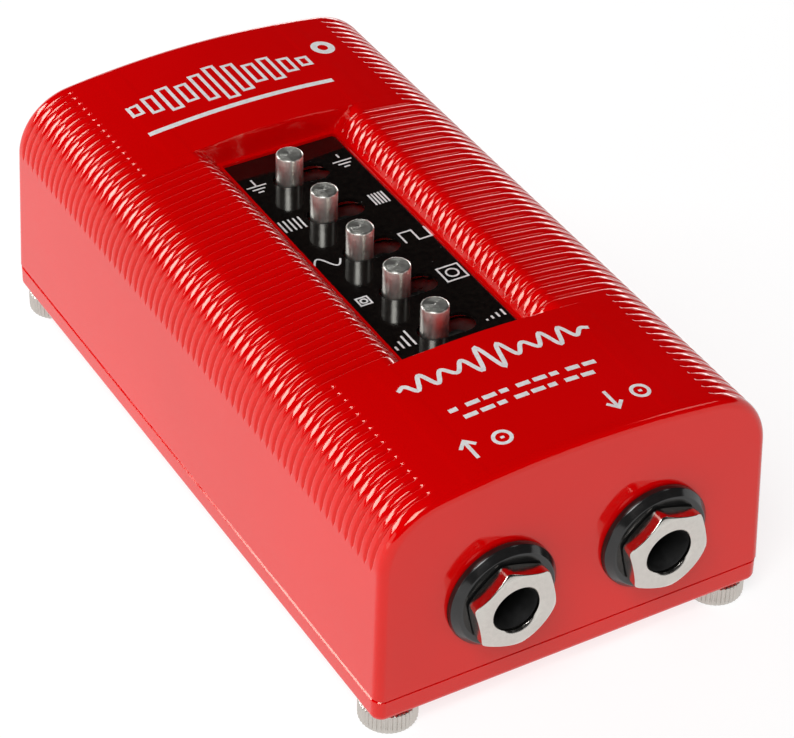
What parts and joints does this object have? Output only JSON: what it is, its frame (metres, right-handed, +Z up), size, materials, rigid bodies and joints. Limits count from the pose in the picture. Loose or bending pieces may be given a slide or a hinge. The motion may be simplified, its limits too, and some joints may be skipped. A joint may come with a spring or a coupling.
{
  "type": "direct injection box",
  "caption": "Small stage direct injection box: ribbed red die-cast shell on a plate held by thumbscrew feet, slide switches in a top window, two phone jacks, balanced output.",
  "frame": {"origin": "under the middle of the whole object, on the surface that its feet stand on", "axes": "+Z up, +Y from the jack end towards the balanced output end, +X to the right seen from the jack end"},
  "size_m": [0.058, 0.1108, 0.0373],
  "materials": {
    "housing_paint": "gloss",
    "plate_paint": "gloss",
    "black_panel": "gloss",
    "circuit_board": "satin",
    "zinc_steel": "satin",
    "chip_plastic": "matt",
    "capacitor_sleeve": "gloss",
    "capacitor_box": "gloss",
    "moulded_black": "satin",
    "contact_metal": "satin",
    "battery_sleeve": "satin",
    "lead_insulation": "satin",
    "switch_can": "satin",
    "post_steel": "turned",
    "thumbscrew_metal": "knurled satin",
    "ring_plastic": "gloss",
    "nut_chrome": "polished"
  },
  "bodies": {
    "case": {"housing": "housing_paint", "control_panel_overlay": "black_panel", "jack_body_input": "moulded_black", "jack_body_thru": "moulded_black", "jack_contacts_input": "contact_metal", "jack_contacts_thru": "contact_metal", "jack_ring_input": "ring_plastic", "jack_ring_thru": "ring_plastic", "jack_nut_input": "nut_chrome", "jack_nut_thru": "nut_chrome", "main_board": "circuit_board", "board_screws": "zinc_steel", "op_amp_chips": "chip_plastic", "electrolytic_capacitors": "capacitor_sleeve", "film_capacitors": "capacitor_box", "xlr_body": "moulded_black", "xlr_pins": "contact_metal", "xlr_screws": "zinc_steel", "dc_jack_body": "moulded_black", "dc_jack_pin": "contact_metal", "battery": "battery_sleeve", "battery_snap": "moulded_black", "battery_leads": "lead_insulation", "switch_frame_1": "switch_can", "switch_frame_2": "switch_can", "switch_frame_3": "switch_can", "switch_frame_4": "switch_can", "switch_frame_5": "switch_can"},
    "bottom_plate": {"bottom_plate": "plate_paint"},
    "switch_1": {"switch_slider_1": "moulded_black", "switch_post_1": "post_steel"},
    "switch_2": {"switch_slider_2": "moulded_black", "switch_post_2": "post_steel"},
    "switch_3": {"switch_slider_3": "moulded_black", "switch_post_3": "post_steel"},
    "switch_4": {"switch_slider_4": "moulded_black", "switch_post_4": "post_steel"},
    "switch_5": {"switch_slider_5": "moulded_black", "switch_post_5": "post_steel"},
    "retainer_front_left": {"screw_retainer_front_left": "zinc_steel"},
    "thumbscrew_front_left": {"thumbscrew_front_left": "thumbscrew_metal"},
    "retainer_rear_left": {"screw_retainer_rear_left": "zinc_steel"},
    "thumbscrew_rear_left": {"thumbscrew_rear_left": "thumbscrew_metal"},
    "retainer_front_right": {"screw_retainer_front_right": "zinc_steel"},
    "thumbscrew_front_right": {"thumbscrew_front_right": "thumbscrew_metal"},
    "retainer_rear_right": {"screw_retainer_rear_right": "zinc_steel"},
    "thumbscrew_rear_right": {"thumbscrew_rear_right": "thumbscrew_metal"}
  },
  "joints": [
    {"name": "bottom_plate_lift_off", "type": "slide", "parent": "case", "child": "bottom_plate", "axis": [0, 0, -1], "range_m": [0, 0.03]},
    {"name": "switch_1_slide", "type": "slide", "parent": "case", "child": "switch_1", "axis": [1, 0, 0], "range_m": [0, 0.0037]},
    {"name": "switch_2_slide", "type": "slide", "parent": "case", "child": "switch_2", "axis": [1, 0, 0], "range_m": [0, 0.0037]},
    {"name": "switch_3_slide", "type": "slide", "parent": "case", "child": "switch_3", "axis": [1, 0, 0], "range_m": [0, 0.0037]},
    {"name": "switch_4_slide", "type": "slide", "parent": "case", "child": "switch_4", "axis": [1, 0, 0], "range_m": [0, 0.0037]},
    {"name": "switch_5_slide", "type": "slide", "parent": "case", "child": "switch_5", "axis": [1, 0, 0], "range_m": [0, 0.0037]},
    {"name": "thumbscrew_front_left_travel", "type": "slide", "parent": "bottom_plate", "child": "retainer_front_left", "axis": [0, 0, -1], "range_m": [0, 0.005]},
    {"name": "thumbscrew_front_left_turn", "type": "hinge", "parent": "retainer_front_left", "child": "thumbscrew_front_left", "pos_m": [-0.025, -0.04755, 0], "axis": [0, 0, -1], "range_deg": [0, 3600]},
    {"name": "thumbscrew_rear_left_travel", "type": "slide", "parent": "bottom_plate", "child": "retainer_rear_left", "axis": [0, 0, -1], "range_m": [0, 0.005]},
    {"name": "thumbscrew_rear_left_turn", "type": "hinge", "parent": "retainer_rear_left", "child": "thumbscrew_rear_left", "pos_m": [-0.025, 0.05145, 0], "axis": [0, 0, -1], "range_deg": [0, 3600]},
    {"name": "thumbscrew_front_right_travel", "type": "slide", "parent": "bottom_plate", "child": "retainer_front_right", "axis": [0, 0, -1], "range_m": [0, 0.005]},
    {"name": "thumbscrew_front_right_turn", "type": "hinge", "parent": "retainer_front_right", "child": "thumbscrew_front_right", "pos_m": [0.025, -0.04755, 0], "axis": [0, 0, -1], "range_deg": [0, 3600]},
    {"name": "thumbscrew_rear_right_travel", "type": "slide", "parent": "bottom_plate", "child": "retainer_rear_right", "axis": [0, 0, -1], "range_m": [0, 0.005]},
    {"name": "thumbscrew_rear_right_turn", "type": "hinge", "parent": "retainer_rear_right", "child": "thumbscrew_rear_right", "pos_m": [0.025, 0.05145, 0], "axis": [0, 0, -1], "range_deg": [0, 3600]}
  ],
  "couplings": [
    {"joint": "thumbscrew_front_left_turn", "follows": "thumbscrew_front_left_travel", "rad_per_m": 12566},
    {"joint": "thumbscrew_rear_left_turn", "follows": "thumbscrew_rear_left_travel", "rad_per_m": 12566},
    {"joint": "thumbscrew_front_right_turn", "follows": "thumbscrew_front_right_travel", "rad_per_m": 12566},
    {"joint": "thumbscrew_rear_right_turn", "follows": "thumbscrew_rear_right_travel", "rad_per_m": 12566}
  ]
}
